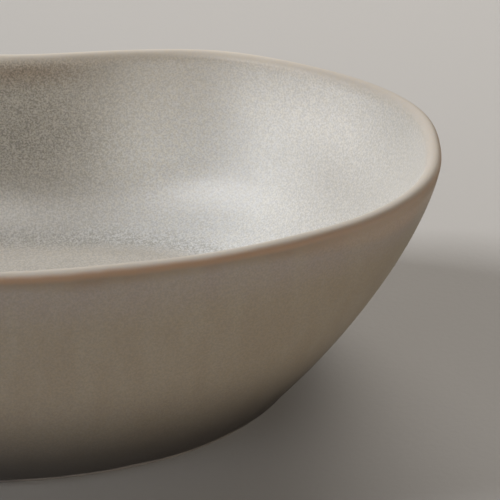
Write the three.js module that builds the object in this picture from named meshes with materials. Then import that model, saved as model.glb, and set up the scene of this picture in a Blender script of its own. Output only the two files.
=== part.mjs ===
// Kidney dish in reactive-glazed stoneware: one pressed clay body on a low foot ring, the glaze
// coat fused over its inside, rim and outer wall, and the glaze patch inside the foot ring.
// Millimetres, +Z up. The origin is the middle of the dish on the surface it stands on, +X runs
// along the dish, and the waist of the kidney is on the +Y side.

import * as THREE from 'three';

// Rim outline, on the outer face of the glaze
const HALF_LENGTH = 147.5;
const HALF_WIDTH = 88;
const SQUARENESS = 2.3; // superellipse exponent: 2 is a plain ellipse
const WAIST_REACH = 82; // where the +Y side starts to be pressed in, along X from the middle
const WAIST_SLOPE = 0.34; // how steeply it is pressed in from there
const WAIST_ROUND = 30; // rounding of the waist at the middle of the dish
const SHOULDER_ROUND = 7.5; // rounding of the two shoulders beside it
const WAIST_LOSS = 0.3; // share of the press that is gone at the foot

// Wall
const HEIGHT = 74;
const RIM_WAVE = 1.9; // rise and fall of the hand-finished rim
const END_FLARE = 45.2; // lean of the wall from foot to rim, at the ends
const END_CURVE = 1.56; // 1 is a straight wall, more turns it upright towards the rim
const SIDE_FLARE = 8.8; // the same two, at the long sides
const SIDE_CURVE = 4;
const RIM_THICKNESS = 4.6; // all thicknesses count the glaze on both faces
const FOOT_THICKNESS = 7;
const FLOOR_TOP = 9;
const HOLLOW_REACH = 20; // width of the curve that joins the floor to the wall, inside
const HOLLOW_RISE = 22; // height of the same curve

// Glaze, with the clearance that keeps two solids apart
const GLAZE = 0.6;
const CLEARANCE = 0.3;
const COAT = GLAZE + CLEARANCE;
const GLAZE_LINE = 2.4; // height of the coat's lower edge

// Foot ring
const FOOT_INSET = 1.6; // from the outer face at the glaze line to the side of the foot
const FOOT_BEVEL = 0.7;
const FOOT_WIDTH = 6;
const RECESS_TOP = 3;
const PATCH_MARGIN = 2; // bare clay between the foot ring and the glaze patch
const PATCH_EDGE = 0.3; // rounding of the patch's rim

// Mesh steps
const SEGMENTS = 96;
const SEGMENT_CROWDING = 0.2; // how much closer the segments stand at the waist than at the ends
const WALL_STEPS = 6;
const NOSE_STEPS = 4;
const HOLLOW_STEPS = 5;

const stoneware = new THREE.MeshStandardMaterial({ color: 0xa08a72, roughness: 0.9, metalness: 0 });
const mattGlaze = new THREE.MeshStandardMaterial({ color: 0xb5aa9a, roughness: 0.55, metalness: 0 });

// A station is one ring of the dish's section: level is the height whose wall outline it follows,
// inset the distance in from the outer face, z its own height, and spread shrinks the ring towards
// the middle of the dish, where it is 0.
const station = (level, inset, z, spread = 1) => ({ level, inset, z, spread });
const wallStation = (inset, z) => station(z, inset, z);
const thicknessAt = (z) => THREE.MathUtils.lerp(FOOT_THICKNESS, RIM_THICKNESS, z / HEIGHT);

// Every value from first to last in equal steps, both included
const steps = (first, last, count) =>
  Array.from({ length: count + 1 }, (_, i) => THREE.MathUtils.lerp(first, last, i / count));

// Section lines, each running up the outside, over the rim and down the inside. The depth is how
// far a line lies under the visible face of the glaze.
const noseCentre = HEIGHT - RIM_THICKNESS / 2;
const hollowTop = FLOOR_TOP + HOLLOW_RISE;

function outerLine(depth) {
  return steps(GLAZE_LINE, noseCentre, WALL_STEPS)
    .slice(0, -1)
    .map((z) => wallStation(depth, z));
}

function noseLine(depth) {
  const radius = RIM_THICKNESS / 2 - depth;
  return steps(0, Math.PI, NOSE_STEPS).map((turn) =>
    wallStation(RIM_THICKNESS / 2 - radius * Math.cos(turn), noseCentre + radius * Math.sin(turn)));
}

function innerLine(depth) {
  const middle = thicknessAt(hollowTop) + HOLLOW_REACH;
  const reach = HOLLOW_REACH + depth;
  const rise = HOLLOW_RISE + depth;
  const wall = steps(noseCentre, hollowTop, WALL_STEPS)
    .slice(1, -1)
    .map((z) => wallStation(thicknessAt(z) - depth, z));
  const hollow = steps(0, Math.PI / 2, HOLLOW_STEPS).map((turn) =>
    wallStation(middle - reach * Math.cos(turn), hollowTop - rise * Math.sin(turn)));
  return [...wall, ...hollow];
}

const faceLine = (depth) => [...outerLine(depth), ...noseLine(depth), ...innerLine(depth)];
const axisStation = (z) => station(0, 0, z, 0);

// How far the +Y side is pressed in: a slope from each shoulder down to the middle, rounded at both
function waistPress(x) {
  const within = WAIST_REACH - Math.hypot(x, WAIST_ROUND);
  return WAIST_SLOPE * SHOULDER_ROUND * Math.log1p(Math.exp(within / SHOULDER_ROUND));
}

// A point of the rim outline, drawn in by the wall's flare below the rim and by the inset
function outlinePoint(angle, { level, inset, spread }) {
  const below = 1 - level / HEIGHT;
  const halfLength = HALF_LENGTH - END_FLARE * below ** END_CURVE - inset;
  const halfWidth = HALF_WIDTH - SIDE_FLARE * below ** SIDE_CURVE - inset;
  const bulge = (value) => Math.sign(value) * Math.abs(value) ** (2 / SQUARENESS);
  const x = halfLength * bulge(Math.cos(angle));
  const y = halfWidth * bulge(Math.sin(angle));
  const waistSide = ((1 + y / halfWidth) / 2) ** 2;
  const press = waistPress(x) * (1 - WAIST_LOSS * below ** SIDE_CURVE);
  return new THREE.Vector2(x, y - press * waistSide).multiplyScalar(spread);
}

// A closed section is turned as a lathe, and each ring of the round blank is then laid on the
// kidney outline of its station.
function kidneyTurn(section) {
  const radius = ({ inset, spread }) => (HALF_LENGTH - inset) * spread;
  const blank = section.map((ring) => new THREE.Vector2(radius(ring), ring.z));
  const geometry = new THREE.LatheGeometry(blank, SEGMENTS);
  const position = geometry.getAttribute('position');
  for (let i = 0; i < position.count; i += 1) {
    const ring = section[i % section.length];
    const turn = (Math.floor(i / section.length) / SEGMENTS) * 2 * Math.PI;
    const angle = turn + SEGMENT_CROWDING * Math.sin(2 * turn);
    const { x, y } = outlinePoint(angle, ring);
    const lift = RIM_WAVE * Math.sin(-2 * angle) * (ring.z / HEIGHT) ** 2 * ring.spread;
    position.setXYZ(i, x, y, ring.z + lift);
  }
  geometry.computeVertexNormals();
  return geometry;
}

function bodyGeometry() {
  return kidneyTurn([
    axisStation(RECESS_TOP),
    station(GLAZE_LINE, FOOT_INSET + FOOT_WIDTH, RECESS_TOP),
    station(GLAZE_LINE, FOOT_INSET + FOOT_WIDTH, FOOT_BEVEL),
    station(GLAZE_LINE, FOOT_INSET + FOOT_WIDTH - FOOT_BEVEL, 0),
    station(GLAZE_LINE, FOOT_INSET + FOOT_BEVEL, 0),
    station(GLAZE_LINE, FOOT_INSET, FOOT_BEVEL),
    station(GLAZE_LINE, FOOT_INSET, GLAZE_LINE),
    ...faceLine(COAT),
    axisStation(FLOOR_TOP - COAT),
  ]);
}

function coatGeometry() {
  return kidneyTurn([
    axisStation(FLOOR_TOP - GLAZE),
    ...faceLine(GLAZE).reverse(),
    ...faceLine(0),
    axisStation(FLOOR_TOP),
  ]);
}

function patchGeometry() {
  const edge = FOOT_INSET + FOOT_WIDTH + PATCH_MARGIN;
  const top = RECESS_TOP - CLEARANCE;
  return kidneyTurn([
    axisStation(top - GLAZE),
    station(GLAZE_LINE, edge + PATCH_EDGE, top - GLAZE),
    station(GLAZE_LINE, edge, top - GLAZE + PATCH_EDGE),
    station(GLAZE_LINE, edge, top),
    axisStation(top),
  ]);
}

function namedMesh(name, geometry, material) {
  const mesh = new THREE.Mesh(geometry, material);
  mesh.name = name;
  return mesh;
}

const dish = new THREE.Group();
dish.add(
  namedMesh('stoneware_body', bodyGeometry(), stoneware),
  namedMesh('glaze_coat', coatGeometry(), mattGlaze),
  namedMesh('base_glaze', patchGeometry(), mattGlaze),
);

// The waist makes the +Y side the narrower one, so the dish is moved to centre it on the origin.
const middle = new THREE.Box3().setFromObject(dish).getCenter(new THREE.Vector3());
dish.position.set(-middle.x, -middle.y, 0);

export default dish;
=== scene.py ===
"""A kidney dish in reactive-glazed stoneware, built around its CAD model. Metres, +Z up.

The three CAD nodes are one fired pot: the clay body, the glaze coat over it and the glaze patch
inside its foot ring. Each is rebuilt here as a fine mesh on the same outline and section, with the
unevenness of a hand-pressed pot, and gets a procedural material.
"""

import math

import bpy
import numpy as np
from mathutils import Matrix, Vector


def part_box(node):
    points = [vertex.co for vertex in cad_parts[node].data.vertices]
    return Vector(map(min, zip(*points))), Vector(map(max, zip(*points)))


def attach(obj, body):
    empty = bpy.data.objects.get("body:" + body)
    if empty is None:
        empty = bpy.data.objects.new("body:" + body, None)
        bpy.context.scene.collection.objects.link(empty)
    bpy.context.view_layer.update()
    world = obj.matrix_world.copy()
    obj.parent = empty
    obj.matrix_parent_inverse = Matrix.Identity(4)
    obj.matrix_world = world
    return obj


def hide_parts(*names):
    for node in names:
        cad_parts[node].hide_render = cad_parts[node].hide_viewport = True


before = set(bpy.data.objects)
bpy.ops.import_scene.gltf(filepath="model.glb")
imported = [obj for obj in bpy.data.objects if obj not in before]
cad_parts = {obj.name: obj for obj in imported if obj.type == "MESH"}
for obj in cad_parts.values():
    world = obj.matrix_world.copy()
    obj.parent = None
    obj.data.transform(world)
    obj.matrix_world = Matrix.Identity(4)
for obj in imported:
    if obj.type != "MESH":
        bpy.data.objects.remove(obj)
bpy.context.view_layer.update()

MM = 0.001

# Outline of the rim and lean of the wall, as the CAD has them
HALF_LENGTH = 147.5 * MM
HALF_WIDTH = 88 * MM
SQUARENESS = 2.3  # superellipse exponent
WAIST_REACH = 82 * MM
WAIST_SLOPE = 0.34
WAIST_ROUND = 30 * MM
SHOULDER_ROUND = 7.5 * MM
WAIST_LOSS = 0.3
HEIGHT = 74 * MM
RIM_WAVE = 1.9 * MM
END_FLARE = 45.2 * MM
END_CURVE = 1.56
SIDE_FLARE = 8.8 * MM
SIDE_CURVE = 4

# Wall, glaze and foot
RIM_THICKNESS = 4.6 * MM
FOOT_THICKNESS = 7 * MM
FLOOR_TOP = 9 * MM
HOLLOW_REACH = 20 * MM  # the curve that joins the floor to the wall
HOLLOW_RISE = 22 * MM
GLAZE = 0.6 * MM
COAT = 0.9 * MM  # glaze and the gap under it
GLAZE_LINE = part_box("glaze_coat")[0].z
PATCH_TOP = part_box("base_glaze")[1].z
FOOT_INSET = 1.6 * MM
FOOT_WIDTH = 6 * MM
FOOT_ROUND = 0.7 * MM
RECESS_TOP = 3 * MM
PATCH_MARGIN = 2 * MM

# Mesh steps
SEGMENTS = 384
CROWDING = 0.2  # how much closer the segments stand at the waist than at the ends
WALL_STEPS = 56
NOSE_STEPS = 24
HOLLOW_STEPS = 24
FLOOR_STEPS = 32
ROUND_STEPS = 6  # round a corner of the foot or the rim of the patch
EDGE_STEPS = 8  # round the lower edge of the coat
RECESS_STEPS = FLOOR_STEPS // 2
PATCH_STEPS = 20
HIDDEN_SHARE = 4  # a face that nothing sees has this many times fewer rows

# Hand-formed unevenness
SEED = 7
SWELL_WAVES = 14
SWELL = 0.28 * MM  # comes to 0.18 mm rms across the wall, and 0.7 mm at most
SWELL_LONGEST = 95 * MM
SWELL_SHORTEST = 34 * MM
SWELL_START = 18 * MM  # full from this height up, and none at the foot
BEAD = 0.22 * MM  # how far the glaze swells out where it ends above the foot
BEAD_REACH = 1.6 * MM
EDGE_WANDER = 0.12 * MM  # how far that edge runs up and down, rms
EDGE_WAVES = 40  # every wave in it goes round the dish fewer times than this
PATCH_WANDER = 0.6 * MM  # how far the edge of the foot glaze runs in and out, rms
PATCH_WAVES = 30

# Where the glaze changes, measured along the dish from its middle, and in height. Inside it is thin and dark
# over the waist, with painted shade there too, and thick and pale in a pool on either side of it, with a
# painted sheen there too.
FAR_SIDE_FADE = 30 * MM  # width of the change from the near half of the dish to the far one
WAIST_FROM = 8 * MM
WAIST_FADE = 44 * MM
WALL_FADE = 42 * MM  # the thin glaze and its painted shade end this far above the floor
# the pale pool, which also carries a painted sheen
POOL_AND_SHEEN_MIDDLE = 62 * MM
POOL_AND_SHEEN_REACH = 33 * MM
POOL_AND_SHEEN_HEIGHT = 32 * MM
POOL_AND_SHEEN_RISE = 30 * MM
TOP_FROM = 38 * MM  # painted light: a paler wall above this height, between the shoulder and the end
TOP_FADE = 20 * MM
SHOULDER_FROM = 38 * MM
SHOULDER_FADE = 26 * MM
END_FROM = 115 * MM
LIP_FROM = 82 * MM  # painted light: the lip of the waist side is paler, as lit, up to here
LIP_FADE = 45 * MM
END_BAND_FROM = 88 * MM  # the band under the rim is paler and wider towards the ends
END_BAND_FADE = 45 * MM
BAND_HEIGHT = 41 * MM  # a mottled band half way up the waist
BAND_REACH = 8 * MM


# ---------------------------------------------------------------- the shape

# A station is one ring of the section: the level whose wall outline it follows, its inset from the
# outer face, its own height, and how far it is spread from the middle of the dish.
def wall_station(inset, z):
    return (z, inset, z, 1.0)


def thickness_at(z):
    return FOOT_THICKNESS + (RIM_THICKNESS - FOOT_THICKNESS) * z / HEIGHT


NOSE_CENTRE = HEIGHT - RIM_THICKNESS / 2
HOLLOW_TOP = FLOOR_TOP + HOLLOW_RISE


def outer_line(depth, share=1):
    heights = np.linspace(GLAZE_LINE, NOSE_CENTRE, WALL_STEPS // share + 1)[:-1]
    return [wall_station(depth, z) for z in heights]


def nose_line(depth, share=1):
    radius = RIM_THICKNESS / 2 - depth
    return [
        wall_station(RIM_THICKNESS / 2 - radius * math.cos(turn), NOSE_CENTRE + radius * math.sin(turn))
        for turn in np.linspace(0, math.pi, NOSE_STEPS // share + 1)
    ]


def inner_line(depth, share=1):
    wall = np.linspace(NOSE_CENTRE, HOLLOW_TOP, WALL_STEPS // share + 1)[1:-1]
    middle = thickness_at(HOLLOW_TOP) + HOLLOW_REACH
    reach, rise = HOLLOW_REACH + depth, HOLLOW_RISE + depth
    hollow = [
        wall_station(middle - reach * math.cos(turn), HOLLOW_TOP - rise * math.sin(turn))
        for turn in np.linspace(0, math.pi / 2, HOLLOW_STEPS // share + 1)
    ]
    return [wall_station(thickness_at(z) - depth, z) for z in wall] + hollow


def floor_line(station, share=1):
    """Rings from just inside a station to the middle of the dish, at its height."""
    level, inset, z, _ = station
    spreads = np.linspace(1, 0, FLOOR_STEPS // share + 1)[1:]
    return [(level, inset, z, spread) for spread in spreads]


def face_line(depth, share=1):
    line = outer_line(depth, share) + nose_line(depth, share) + inner_line(depth, share)
    return line + floor_line(line[-1], share)


def outline(angle, level, inset):
    """The rim outline, drawn in by the wall's flare and the inset, with its waist pressed in."""
    below = np.maximum(1 - level / HEIGHT, 0)
    half_length = HALF_LENGTH - END_FLARE * below**END_CURVE - inset
    half_width = HALF_WIDTH - SIDE_FLARE * below**SIDE_CURVE - inset
    bulge = 2 / SQUARENESS
    x = half_length * np.sign(np.cos(angle)) * np.abs(np.cos(angle)) ** bulge
    y = half_width * np.sign(np.sin(angle)) * np.abs(np.sin(angle)) ** bulge
    within = (WAIST_REACH - np.hypot(x, WAIST_ROUND)) / SHOULDER_ROUND
    press = WAIST_SLOPE * SHOULDER_ROUND * np.log1p(np.exp(within))
    waist_side = ((1 + y / half_width) / 2) ** 2
    return x, y - press * (1 - WAIST_LOSS * below**SIDE_CURVE) * waist_side


turns = np.arange(SEGMENTS) / SEGMENTS * 2 * math.pi
ANGLES = turns + CROWDING * np.sin(2 * turns)
rim_y = outline(ANGLES, HEIGHT, 0)[1]
CENTRE_SHIFT = -(rim_y.min() + rim_y.max()) / 2  # the CAD's origin is the middle of its box


def rings(section):
    """The points of a section turned round the kidney outline, as (stations, segments, 3)."""
    level, inset, z, spread = (np.array(column)[:, None] for column in zip(*section))
    x, y = outline(ANGLES[None, :], level, inset)
    lift = RIM_WAVE * np.sin(-2 * ANGLES) * (z / HEIGHT) ** 2 * spread
    return np.stack([x * spread, y * spread + CENTRE_SHIFT, z + lift], axis=-1)


def smooth(t):
    t = np.clip(t, 0, 1)
    return t * t * (3 - 2 * t)


random = np.random.default_rng(SEED)
wave_length = np.geomspace(SWELL_LONGEST, SWELL_SHORTEST, SWELL_WAVES)
wave_way = random.normal(size=(SWELL_WAVES, 3))
wave_way /= np.linalg.norm(wave_way, axis=1)[:, None]
wave_push = random.normal(size=(SWELL_WAVES, 3)) * (wave_length / SWELL_LONGEST)[:, None]
wave_phase = random.uniform(0, 2 * math.pi, SWELL_WAVES)


def swell(points):
    """One smooth unevenness for the clay and the coat, so that they stay as far apart as they are."""
    phase = points @ (wave_way / wave_length[:, None]).T * 2 * math.pi + wave_phase
    push = np.sin(phase) @ wave_push * SWELL * math.sqrt(2 / SWELL_WAVES)
    return points + push * smooth(points[..., 2:3] / SWELL_START)


def wander(count, size):
    """A seeded line once round the dish, made of waves, that strays from 0 by size (rms)."""
    line = np.zeros(SEGMENTS)
    for waves in range(2, count):
        line += random.normal() * np.sin(waves * turns + random.uniform(0, 2 * math.pi)) / math.sqrt(waves)
    return line * size / line.std()


def run_from(points, row):
    """Distance of every point from the given row, along its own section, in millimetres: positive
    before that row and negative after it."""
    step = np.linalg.norm(np.diff(points, axis=0), axis=-1)
    run = np.vstack([np.zeros(points.shape[1]), np.cumsum(step, axis=0)])
    return (run[row] - run) / MM


def solid(name, points, **attributes):
    """A closed mesh from rings whose first and last close on the middle of the dish."""
    count = len(points)
    body = points[1:-1].reshape(-1, 3)
    poles = points[[0, -1], 0]
    ring = np.arange(SEGMENTS)
    following = (ring + 1) % SEGMENTS
    rows = np.arange(count - 3)[:, None] * SEGMENTS
    above = rows + SEGMENTS
    quads = np.stack([rows + ring, rows + following, above + following, above + ring], -1)
    first, last = len(body), len(body) + 1
    top = (count - 3) * SEGMENTS
    fans = [(first, b, a) for a, b in zip(ring, following)]
    fans += [(last, top + a, top + b) for a, b in zip(ring, following)]
    mesh = bpy.data.meshes.new(name)
    faces = quads.reshape(-1, 4).tolist() + [tuple(int(i) for i in fan) for fan in fans]
    mesh.from_pydata(np.vstack([body, poles]).tolist(), [], faces)
    mesh.shade_smooth()
    for key, values in attributes.items():
        flat = np.concatenate([values[1:-1].ravel(), values[[0, -1], 0]])
        mesh.attributes.new(key, "FLOAT", "POINT").data.foreach_set("value", flat.astype(np.float32))
    piece = bpy.data.objects.new(name, mesh)
    bpy.context.scene.collection.objects.link(piece)
    return piece


def rounded_end(depth_from, depth_to, z):
    """Stations round the lower edge of the coat, from its hidden face to its visible one."""
    middle, radius = (depth_from + depth_to) / 2, abs(depth_to - depth_from) / 2
    return [
        wall_station(middle + radius * math.cos(turn), z - radius * math.sin(turn))
        for turn in np.linspace(0, math.pi, EDGE_STEPS + 1)[1:-1]
    ]


def bead_at(z):
    """How far the glaze swells out of the outer wall at a height."""
    return BEAD * math.exp(-(((z - GLAZE_LINE) / BEAD_REACH) ** 2))


def glaze_coat():
    hidden = face_line(GLAZE, HIDDEN_SHARE)[::-1]
    visible = [
        (level, inset - bead_at(z) * (i < WALL_STEPS), z, spread)
        for i, (level, inset, z, spread) in enumerate(face_line(0))
    ]
    section = hidden + rounded_end(GLAZE, -BEAD, GLAZE_LINE) + visible
    points = rings(section)
    first_visible = len(section) - len(visible)
    crest = first_visible + WALL_STEPS + NOSE_STEPS // 2
    floor_edge = len(section) - 1 - FLOOR_STEPS
    attributes = {"crest_mm": run_from(points, crest), "floor_mm": run_from(points, floor_edge)}
    along = np.abs(points[..., 0])
    across, height = points[..., 1], points[..., 2]
    far_side = smooth(across / FAR_SIDE_FADE + 0.5)
    above_floor = smooth((height - FLOOR_TOP) / WALL_FADE)
    # the thin glaze over the waist, darkened further as painted shade
    attributes["waist"] = far_side * above_floor * (1 - smooth((along - WAIST_FROM) / WAIST_FADE))
    # a pale pool of thick glaze, made paler and cooler still as a painted sheen
    from_pool_and_sheen = np.hypot((along - POOL_AND_SHEEN_MIDDLE) / POOL_AND_SHEEN_REACH, (height - POOL_AND_SHEEN_HEIGHT) / POOL_AND_SHEEN_RISE)
    attributes["pool_and_sheen"] = far_side * np.exp(-(from_pool_and_sheen**2))
    # painted light: the upper wall on the far side is paler, as lit
    attributes["top"] = (
        far_side
        * smooth((height - TOP_FROM) / TOP_FADE)
        * smooth((along - SHOULDER_FROM) / SHOULDER_FADE)
        * (1 - smooth((along - END_FROM) / SHOULDER_FADE))
    )
    attributes["band"] = np.exp(-(((height - BAND_HEIGHT) / BAND_REACH) ** 2)) * attributes["waist"]
    # painted light: the lip on the far side is paler than on the near side
    attributes["lit_lip"] = far_side * (1 - smooth((along - LIP_FROM) / LIP_FADE))
    attributes["end"] = smooth((along - END_BAND_FROM) / END_BAND_FADE)
    outside = np.arange(len(section))[:, None] < crest
    low = np.exp(-np.abs(points[..., 2] - GLAZE_LINE) / (2 * BEAD_REACH)) * outside
    points[..., 2] += wander(EDGE_WAVES, EDGE_WANDER) * low
    return solid("glaze", swell(points), **attributes)


def arc(middle_inset, middle_z, start, end):
    """Stations round a corner of the foot, from one direction to another in degrees."""
    return [
        (GLAZE_LINE, middle_inset - FOOT_ROUND * math.cos(turn), middle_z + FOOT_ROUND * math.sin(turn), 1.0)
        for turn in np.radians(np.linspace(start, end, ROUND_STEPS + 1))
    ]


def clay_body():
    inner_foot = FOOT_INSET + FOOT_WIDTH
    spreads = np.linspace(0, 1, RECESS_STEPS + 1)
    recess = [(GLAZE_LINE, inner_foot, RECESS_TOP, spread) for spread in spreads]
    foot = arc(inner_foot - FOOT_ROUND, FOOT_ROUND, 180, 270)
    foot += arc(FOOT_INSET + FOOT_ROUND, FOOT_ROUND, -90, 0)
    foot += [(GLAZE_LINE, FOOT_INSET, GLAZE_LINE, 1.0)]
    points = rings(recess + foot + face_line(COAT, HIDDEN_SHARE))
    return solid("clay", swell(points))


def base_patch():
    edge = FOOT_INSET + FOOT_WIDTH + PATCH_MARGIN
    radius = GLAZE / 2
    middle_z = PATCH_TOP - radius
    outwards = np.linspace(0, 1, PATCH_STEPS + 1)
    inwards = np.linspace(1, 0, PATCH_STEPS + 1)[1:]
    below = [(GLAZE_LINE, edge + radius, middle_z - radius, spread) for spread in outwards]
    side = [
        (GLAZE_LINE, edge + radius - radius * math.sin(turn), middle_z - radius * math.cos(turn), 1.0)
        for turn in np.linspace(0, math.pi, ROUND_STEPS + 1)[1:]
    ]
    above = [(GLAZE_LINE, edge + radius, middle_z + radius, spread) for spread in inwards]
    points = rings(below + side + above)
    points[..., :2] *= 1 + wander(PATCH_WAVES, PATCH_WANDER)[:, None] / HALF_WIDTH
    return solid("foot_glaze", points)


# ---------------------------------------------------------------- materials

class Shader:
    """A material's node tree, with one short call for each kind of node it needs."""

    def __init__(self, name):
        self.material = bpy.data.materials.new(name)
        self.material.use_nodes = True
        self.tree = self.material.node_tree
        self.surface = self.tree.nodes["Principled BSDF"]
        self.place = self.node("ShaderNodeTexCoord").outputs["Object"]
        split = self.node("ShaderNodeSeparateXYZ")
        self.put(split.inputs["Vector"], self.place)
        self.height = split.outputs["Z"]

    def node(self, kind, **settings):
        node = self.tree.nodes.new(kind)
        for key, value in settings.items():
            setattr(node, key, value)
        return node

    def put(self, socket, value):
        if isinstance(value, bpy.types.NodeSocket):
            self.tree.links.new(value, socket)
        elif isinstance(value, tuple) and len(value) == 3 and socket.type == "RGBA":
            socket.default_value = (*value, 1)
        else:
            socket.default_value = value

    def attribute(self, name):
        return self.node("ShaderNodeAttribute", attribute_name=name).outputs["Fac"]

    def stretched(self, scale):
        node = self.node("ShaderNodeMapping")
        self.put(node.inputs["Vector"], self.place)
        node.inputs["Scale"].default_value = scale
        return node.outputs["Vector"]

    def noise(self, size, detail=2.0, rough=0.5, place=None):
        """Noise from 0 to 1 whose grains are about size metres across."""
        node = self.node("ShaderNodeTexNoise")
        self.put(node.inputs["Vector"], place or self.place)
        node.inputs["Scale"].default_value = 1 / size
        node.inputs["Detail"].default_value = detail
        node.inputs["Roughness"].default_value = rough
        return node.outputs["Fac"]

    def math(self, what, a, b=0.0, clamp=False):
        node = self.node("ShaderNodeMath", operation=what, use_clamp=clamp)
        self.put(node.inputs[0], a)
        self.put(node.inputs[1], b)
        return node.outputs[0]

    def span(self, value, low, high, to_low=0.0, to_high=1.0):
        """value mapped from low..high onto to_low..to_high, smoothly and no further."""
        node = self.node("ShaderNodeMapRange", interpolation_type="SMOOTHSTEP")
        for key, number in zip(("Value", "From Min", "From Max", "To Min", "To Max"),
                               (value, low, high, to_low, to_high)):
            self.put(node.inputs[key], number)
        return node.outputs["Result"]

    def mix(self, share, a, b, blend="MIX"):
        node = self.node("ShaderNodeMix", data_type="RGBA", blend_type=blend)
        self.put(node.inputs["Factor"], share)
        self.put(node.inputs["A"], a)
        self.put(node.inputs["B"], b)
        return node.outputs["Result"]

    def bump(self, height, distance, strength=1.0, before=None):
        node = self.node("ShaderNodeBump")
        self.put(node.inputs["Height"], height)
        node.inputs["Distance"].default_value = distance
        node.inputs["Strength"].default_value = strength
        if before:
            self.put(node.inputs["Normal"], before)
        return node.outputs["Normal"]

    def finish(self, colour, roughness, normal, **fixed):
        self.put(self.surface.inputs["Base Color"], colour)
        self.put(self.surface.inputs["Roughness"], roughness)
        self.put(self.surface.inputs["Normal"], normal)
        for key, value in fixed.items():
            self.surface.inputs[key.replace("_", " ")].default_value = value
        return self.material


# Glaze: the inside, the rim, then the outside down to the foot, which is painted dark as shade
INSIDE = (0.45, 0.431, 0.405)
# painted light: the paler upper far wall
INSIDE_TOP_LIT = (0.60, 0.58, 0.555)
INSIDE_FLOOR = (0.475, 0.445, 0.405)
# pale, cool glaze where it pools, brightened further as a painted sheen
INSIDE_POOL_AND_SHEEN = (0.86, 0.87, 0.875)
# darker glaze; over the waist inside it is also painted shade
INSIDE_DARK = (0.402, 0.383, 0.347)
OLIVE_TINT = (1.0, 0.995, 0.955)
BLUE_TINT = (0.975, 0.99, 1.0)
SPECKLE = (0.20, 0.20, 0.19)
UNDER_RIM = (0.27, 0.20, 0.135)
LIP = (0.44, 0.40, 0.357)
# painted light: the lit lip on the far side
LIP_LIT = (0.53, 0.485, 0.43)
BREAK = (0.375, 0.25, 0.17)
BAND = (0.262, 0.20, 0.148)
BAND_END = (0.35, 0.27, 0.213)
COOL = (0.290, 0.245, 0.213)
WALL = (0.280, 0.232, 0.174)
WALL_PALE = (0.318, 0.279, 0.222)
# painted shade: near black at the foot of the outer wall, where there is only shade
FOOT_SHADE = (0.036, 0.029, 0.023)
PATCH_SPECKLE = (0.20, 0.17, 0.14)

# Bare clay: its own tone, painted darker with the shade at the foot
CLAY_SHADED = (0.15, 0.13, 0.115)
CLAY_PALE_SHADED = (0.205, 0.18, 0.155)
GROG = (0.07, 0.06, 0.05)

# Grain sizes
SPECK_SIZE = 0.62 * MM
GRAIN_SIZE = 1.1 * MM
STREAK_SIZE = 9 * MM
BLOTCH_SIZE = 15 * MM
CLOUD_SIZE = 45 * MM
GROG_SIZE = 0.9 * MM
TONE_SIZE = 12 * MM

# Where one tone of glaze gives way to the next, from and to, in millimetres along the glaze from
# the crest of the rim: plus is outside and minus is inside
LIP_STARTS = (-6.5, -1.5)
BREAK_STARTS = (0.8, 2.6)
BREAK_ENDS = (2.6, 4.4)
COOL_STARTS = (3.5, 8)
WALL_STARTS = (8, 22)
UNDER_RIM_STARTS = (-2.0, -4.5)
UNDER_RIM_ENDS = (-16, -6)
# The same from the edge of the floor up the inside
FLOOR_STARTS = (12, 3)
ARC_STARTS = (5, 9)
ARC_ENDS = (18, 10)
# The same in height above the table, for the painted shade at the foot
FOOT_SHADE_STARTS = (38, 3)


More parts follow.
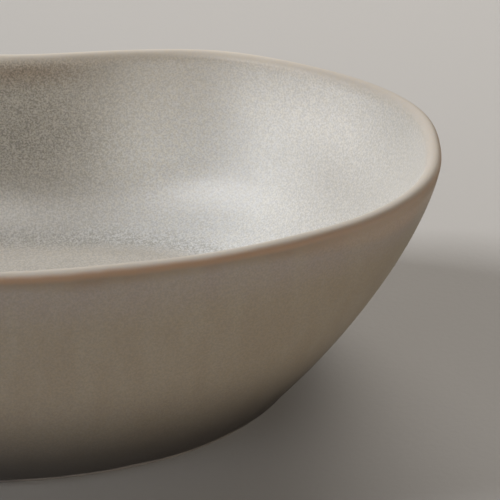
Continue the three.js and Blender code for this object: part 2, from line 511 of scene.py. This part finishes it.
def coat_material():
    s = Shader("matt_reactive_glaze")
    crest = s.attribute("crest_mm")
    floor = s.attribute("floor_mm")
    height = s.math("MULTIPLY", s.height, 1 / MM)
    speck = s.noise(SPECK_SIZE, detail=2.5, rough=0.6)
    grain = s.noise(GRAIN_SIZE, detail=2)
    blotch = s.noise(BLOTCH_SIZE, detail=3)
    cloud = s.noise(CLOUD_SIZE, detail=2)
    stray = s.math("SUBTRACT", cloud, 0.5)

    # Inside: pale where the glaze is thick, with a painted sheen there; darker and more speckled where it is
    # thin, with painted shade over the waist
    thin_and_shaded = s.math("ADD", s.attribute("waist"), s.math("MULTIPLY", stray, 0.35), clamp=True)
    pool_and_sheen = s.math("ADD", s.attribute("pool_and_sheen"), s.math("MULTIPLY", stray, 0.3), clamp=True)
    inside = s.mix(s.attribute("top"), INSIDE, INSIDE_TOP_LIT)
    inside = s.mix(pool_and_sheen, inside, INSIDE_POOL_AND_SHEEN)
    inside = s.mix(s.span(floor, *FLOOR_STARTS), inside, INSIDE_FLOOR)
    inside = s.mix(thin_and_shaded, inside, INSIDE_DARK)
    mottle = s.span(s.math("ADD", s.math("MULTIPLY", grain, 0.5), s.math("MULTIPLY", speck, 0.5)), 0.62, 0.38)
    edge = s.math("ADD", floor, s.math("MULTIPLY", stray, 5.0))
    arc_line = s.math("MULTIPLY", s.span(edge, *ARC_STARTS), s.span(edge, *ARC_ENDS))
    marks = s.math("ADD", s.math("MULTIPLY", s.attribute("band"), 0.25), s.math("MULTIPLY", arc_line, 0.4))
    marks = s.math("ADD", marks, s.math("MULTIPLY", thin_and_shaded, 0.2), clamp=True)
    inside = s.mix(s.math("MULTIPLY", marks, mottle), inside, SPECKLE)
    # a darker brown just under the rim, over the waist
    below_rim = s.math("MULTIPLY", s.span(crest, *UNDER_RIM_STARTS), s.span(crest, *UNDER_RIM_ENDS))
    inside = s.mix(s.math("MULTIPLY", below_rim, s.math("MULTIPLY", thin_and_shaded, 0.6)), inside, UNDER_RIM)

    # Outside: a warm line where the glaze breaks over the rim, a brown band, a cooler zone, the wall.
    # At the ends the line is lost in a paler and wider band.
    streak = s.noise(STREAK_SIZE, detail=3, place=s.stretched((1, 1, 0.3)))
    down = s.math("ADD", crest, s.math("MULTIPLY", stray, 7.0))
    end = s.attribute("end")
    broken = s.mix(end, BREAK, BAND_END)
    band = s.mix(end, BAND, BAND_END)
    down_at_end = s.math("SUBTRACT", down, s.math("MULTIPLY", end, 4.0))
    outside = s.mix(s.span(down_at_end, *COOL_STARTS), band, COOL)
    outside = s.mix(s.span(down, *WALL_STARTS), outside, WALL)
    outside = s.mix(s.span(streak, 0.35, 0.65, 0.0, 0.35), outside, WALL_PALE)
    # painted shade: the outer wall darkens towards the foot
    outside = s.mix(s.span(height, *FOOT_SHADE_STARTS), outside, FOOT_SHADE)
    line = s.math("ADD", crest, s.math("MULTIPLY", s.math("SUBTRACT", blotch, 0.5), 1.2))
    lit_lip = s.mix(s.attribute("lit_lip"), LIP, LIP_LIT)
    colour = s.mix(s.span(line, *LIP_STARTS), inside, lit_lip)
    colour = s.mix(s.span(line, *BREAK_STARTS), colour, broken)
    colour = s.mix(s.span(line, *BREAK_ENDS), colour, outside)

    # Fine speckle and sheen all over, but hardly any on the rim
    off_rim = s.math("ADD", s.span(crest, -1, -4.5), s.span(crest, 3, 8))
    colour = s.mix(1.0, colour, s.mix(s.span(grain, 0.35, 0.65), OLIVE_TINT, BLUE_TINT), "MULTIPLY")
    contrast = s.math("ADD", s.span(crest, 3, -3, 0.09, 0.15), s.math("MULTIPLY", thin_and_shaded, 0.16))
    contrast = s.math("MULTIPLY", off_rim, contrast)
    shade = s.math("ADD", 1.0, s.math("MULTIPLY", s.span(speck, 0.3, 0.7, -1.0, 1.0), contrast))
    colour = s.mix(1.0, colour, shade, "MULTIPLY")

    roughness = s.math("ADD", s.math("MULTIPLY", speck, 0.16), s.span(off_rim, 0, 1, 0.74, 0.42))
    s.put(s.surface.inputs["Specular IOR Level"], s.span(off_rim, 0, 1, 0.12, 0.5))
    normal = s.bump(speck, 0.03 * MM)
    normal = s.bump(blotch, 0.4 * MM, 0.5, normal)
    return s.finish(colour, roughness, normal)


def clay_material():
    s = Shader("bare_stoneware")
    grog = s.noise(GROG_SIZE, detail=4, rough=0.7)
    tone = s.noise(TONE_SIZE, detail=3)
    colour = s.mix(s.span(tone, 0.3, 0.7), CLAY_SHADED, CLAY_PALE_SHADED)
    colour = s.mix(s.span(grog, 0.60, 0.72, 0.0, 0.6), colour, GROG)
    return s.finish(colour, s.span(grog, 0.2, 0.8, 0.75, 0.95), s.bump(grog, 0.15 * MM))


def patch_material():
    s = Shader("matt_foot_glaze")
    speck = s.noise(SPECK_SIZE, detail=2.5, rough=0.6)
    blotch = s.noise(BLOTCH_SIZE, detail=3)
    colour = s.mix(s.span(blotch, 0.3, 0.7), INSIDE_DARK, INSIDE)
    colour = s.mix(s.span(speck, 0.5, 0.35, 0.0, 0.35), colour, PATCH_SPECKLE)
    return s.finish(colour, s.span(speck, 0.2, 0.8, 0.4, 0.55), s.bump(speck, 0.05 * MM))


# ---------------------------------------------------------------- stage, light and camera

FLOOR_SIZE = 14.0
FLOOR_GREY = (0.355, 0.347, 0.335)

# Soft lights: name, heading round from +X towards +Y and elevation in degrees, distance and size in
# metres, watts, colour, and what it adds to: the light a surface scatters, its sheen or both. The
# window is two lamps, because the shadow on the floor and the sheen ask for different places.
LIGHTS = (
    ("window", 170.5, 38, 4.0, 1.2, 180, (1.0, 1.0, 1.01), "scatter"),
    ("window_sheen", 227, 32, 2.3, 2.0, 165, (1.0, 1.0, 1.01), "sheen"),
    ("back_panel", 79, 30, 2.6, 1.8, 49, (1.0, 0.945, 0.885), "both"),
    ("front_panel", 316, 25, 2.6, 1.8, 28.5, (1.0, 0.905, 0.80), "both"),
)
ROOM_LIGHT = 0.03

CAMERA_PLACE = (0.08821, -0.55569, 0.33893)
CAMERA_PITCH = 61.562
CAMERA_LENS = 144
SENSOR = 36


def make_stage():
    half = FLOOR_SIZE / 2
    mesh = bpy.data.meshes.new("floor")
    corners = [(-half, -half, 0), (half, -half, 0), (half, half, 0), (-half, half, 0)]
    mesh.from_pydata(corners, [], [(0, 1, 2, 3)])
    floor = bpy.data.objects.new("floor", mesh)
    bpy.context.scene.collection.objects.link(floor)
    s = Shader("plain_floor")
    floor.data.materials.append(s.finish(FLOOR_GREY, 0.7, s.bump(s.noise(2 * MM), 0.05 * MM)))


def make_lights():
    for name, heading, elevation, distance, size, watts, colour, adds_to in LIGHTS:
        round_z, up = math.radians(heading), math.radians(elevation)
        lamp = bpy.data.lights.new(name, "AREA")
        lamp.shape = "SQUARE"
        lamp.size = size
        lamp.energy = watts
        lamp.color = colour
        light = bpy.data.objects.new(name, lamp)
        light.visible_diffuse = adds_to != "sheen"
        light.visible_glossy = adds_to != "scatter"
        way = (math.cos(round_z) * math.cos(up), math.sin(round_z) * math.cos(up), math.sin(up))
        light.location = [distance * step for step in way]
        light.rotation_euler = (math.radians(90) - up, 0, round_z + math.radians(90))
        bpy.context.scene.collection.objects.link(light)
    world = bpy.data.worlds.new("room")
    world.use_nodes = True
    world.node_tree.nodes["Background"].inputs["Strength"].default_value = ROOM_LIGHT
    bpy.context.scene.world = world
    bpy.context.scene.view_settings.view_transform = "Standard"


def make_camera():
    data = bpy.data.cameras.new("camera")
    data.sensor_width = SENSOR
    data.lens = CAMERA_LENS
    camera = bpy.data.objects.new("camera", data)
    camera.location = CAMERA_PLACE
    camera.rotation_euler = (math.radians(CAMERA_PITCH), 0, 0)
    bpy.context.scene.collection.objects.link(camera)
    bpy.context.scene.camera = camera


def dress(piece, material, slot, *nodes):
    piece.data.materials.append(material)
    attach(piece, "root")
    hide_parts(*nodes)


make_camera()
make_stage()
make_lights()
dress(clay_body(), clay_material(), "clay", "stoneware_body")
dress(glaze_coat(), coat_material(), "glaze", "glaze_coat")
dress(base_patch(), patch_material(), "glaze", "base_glaze")
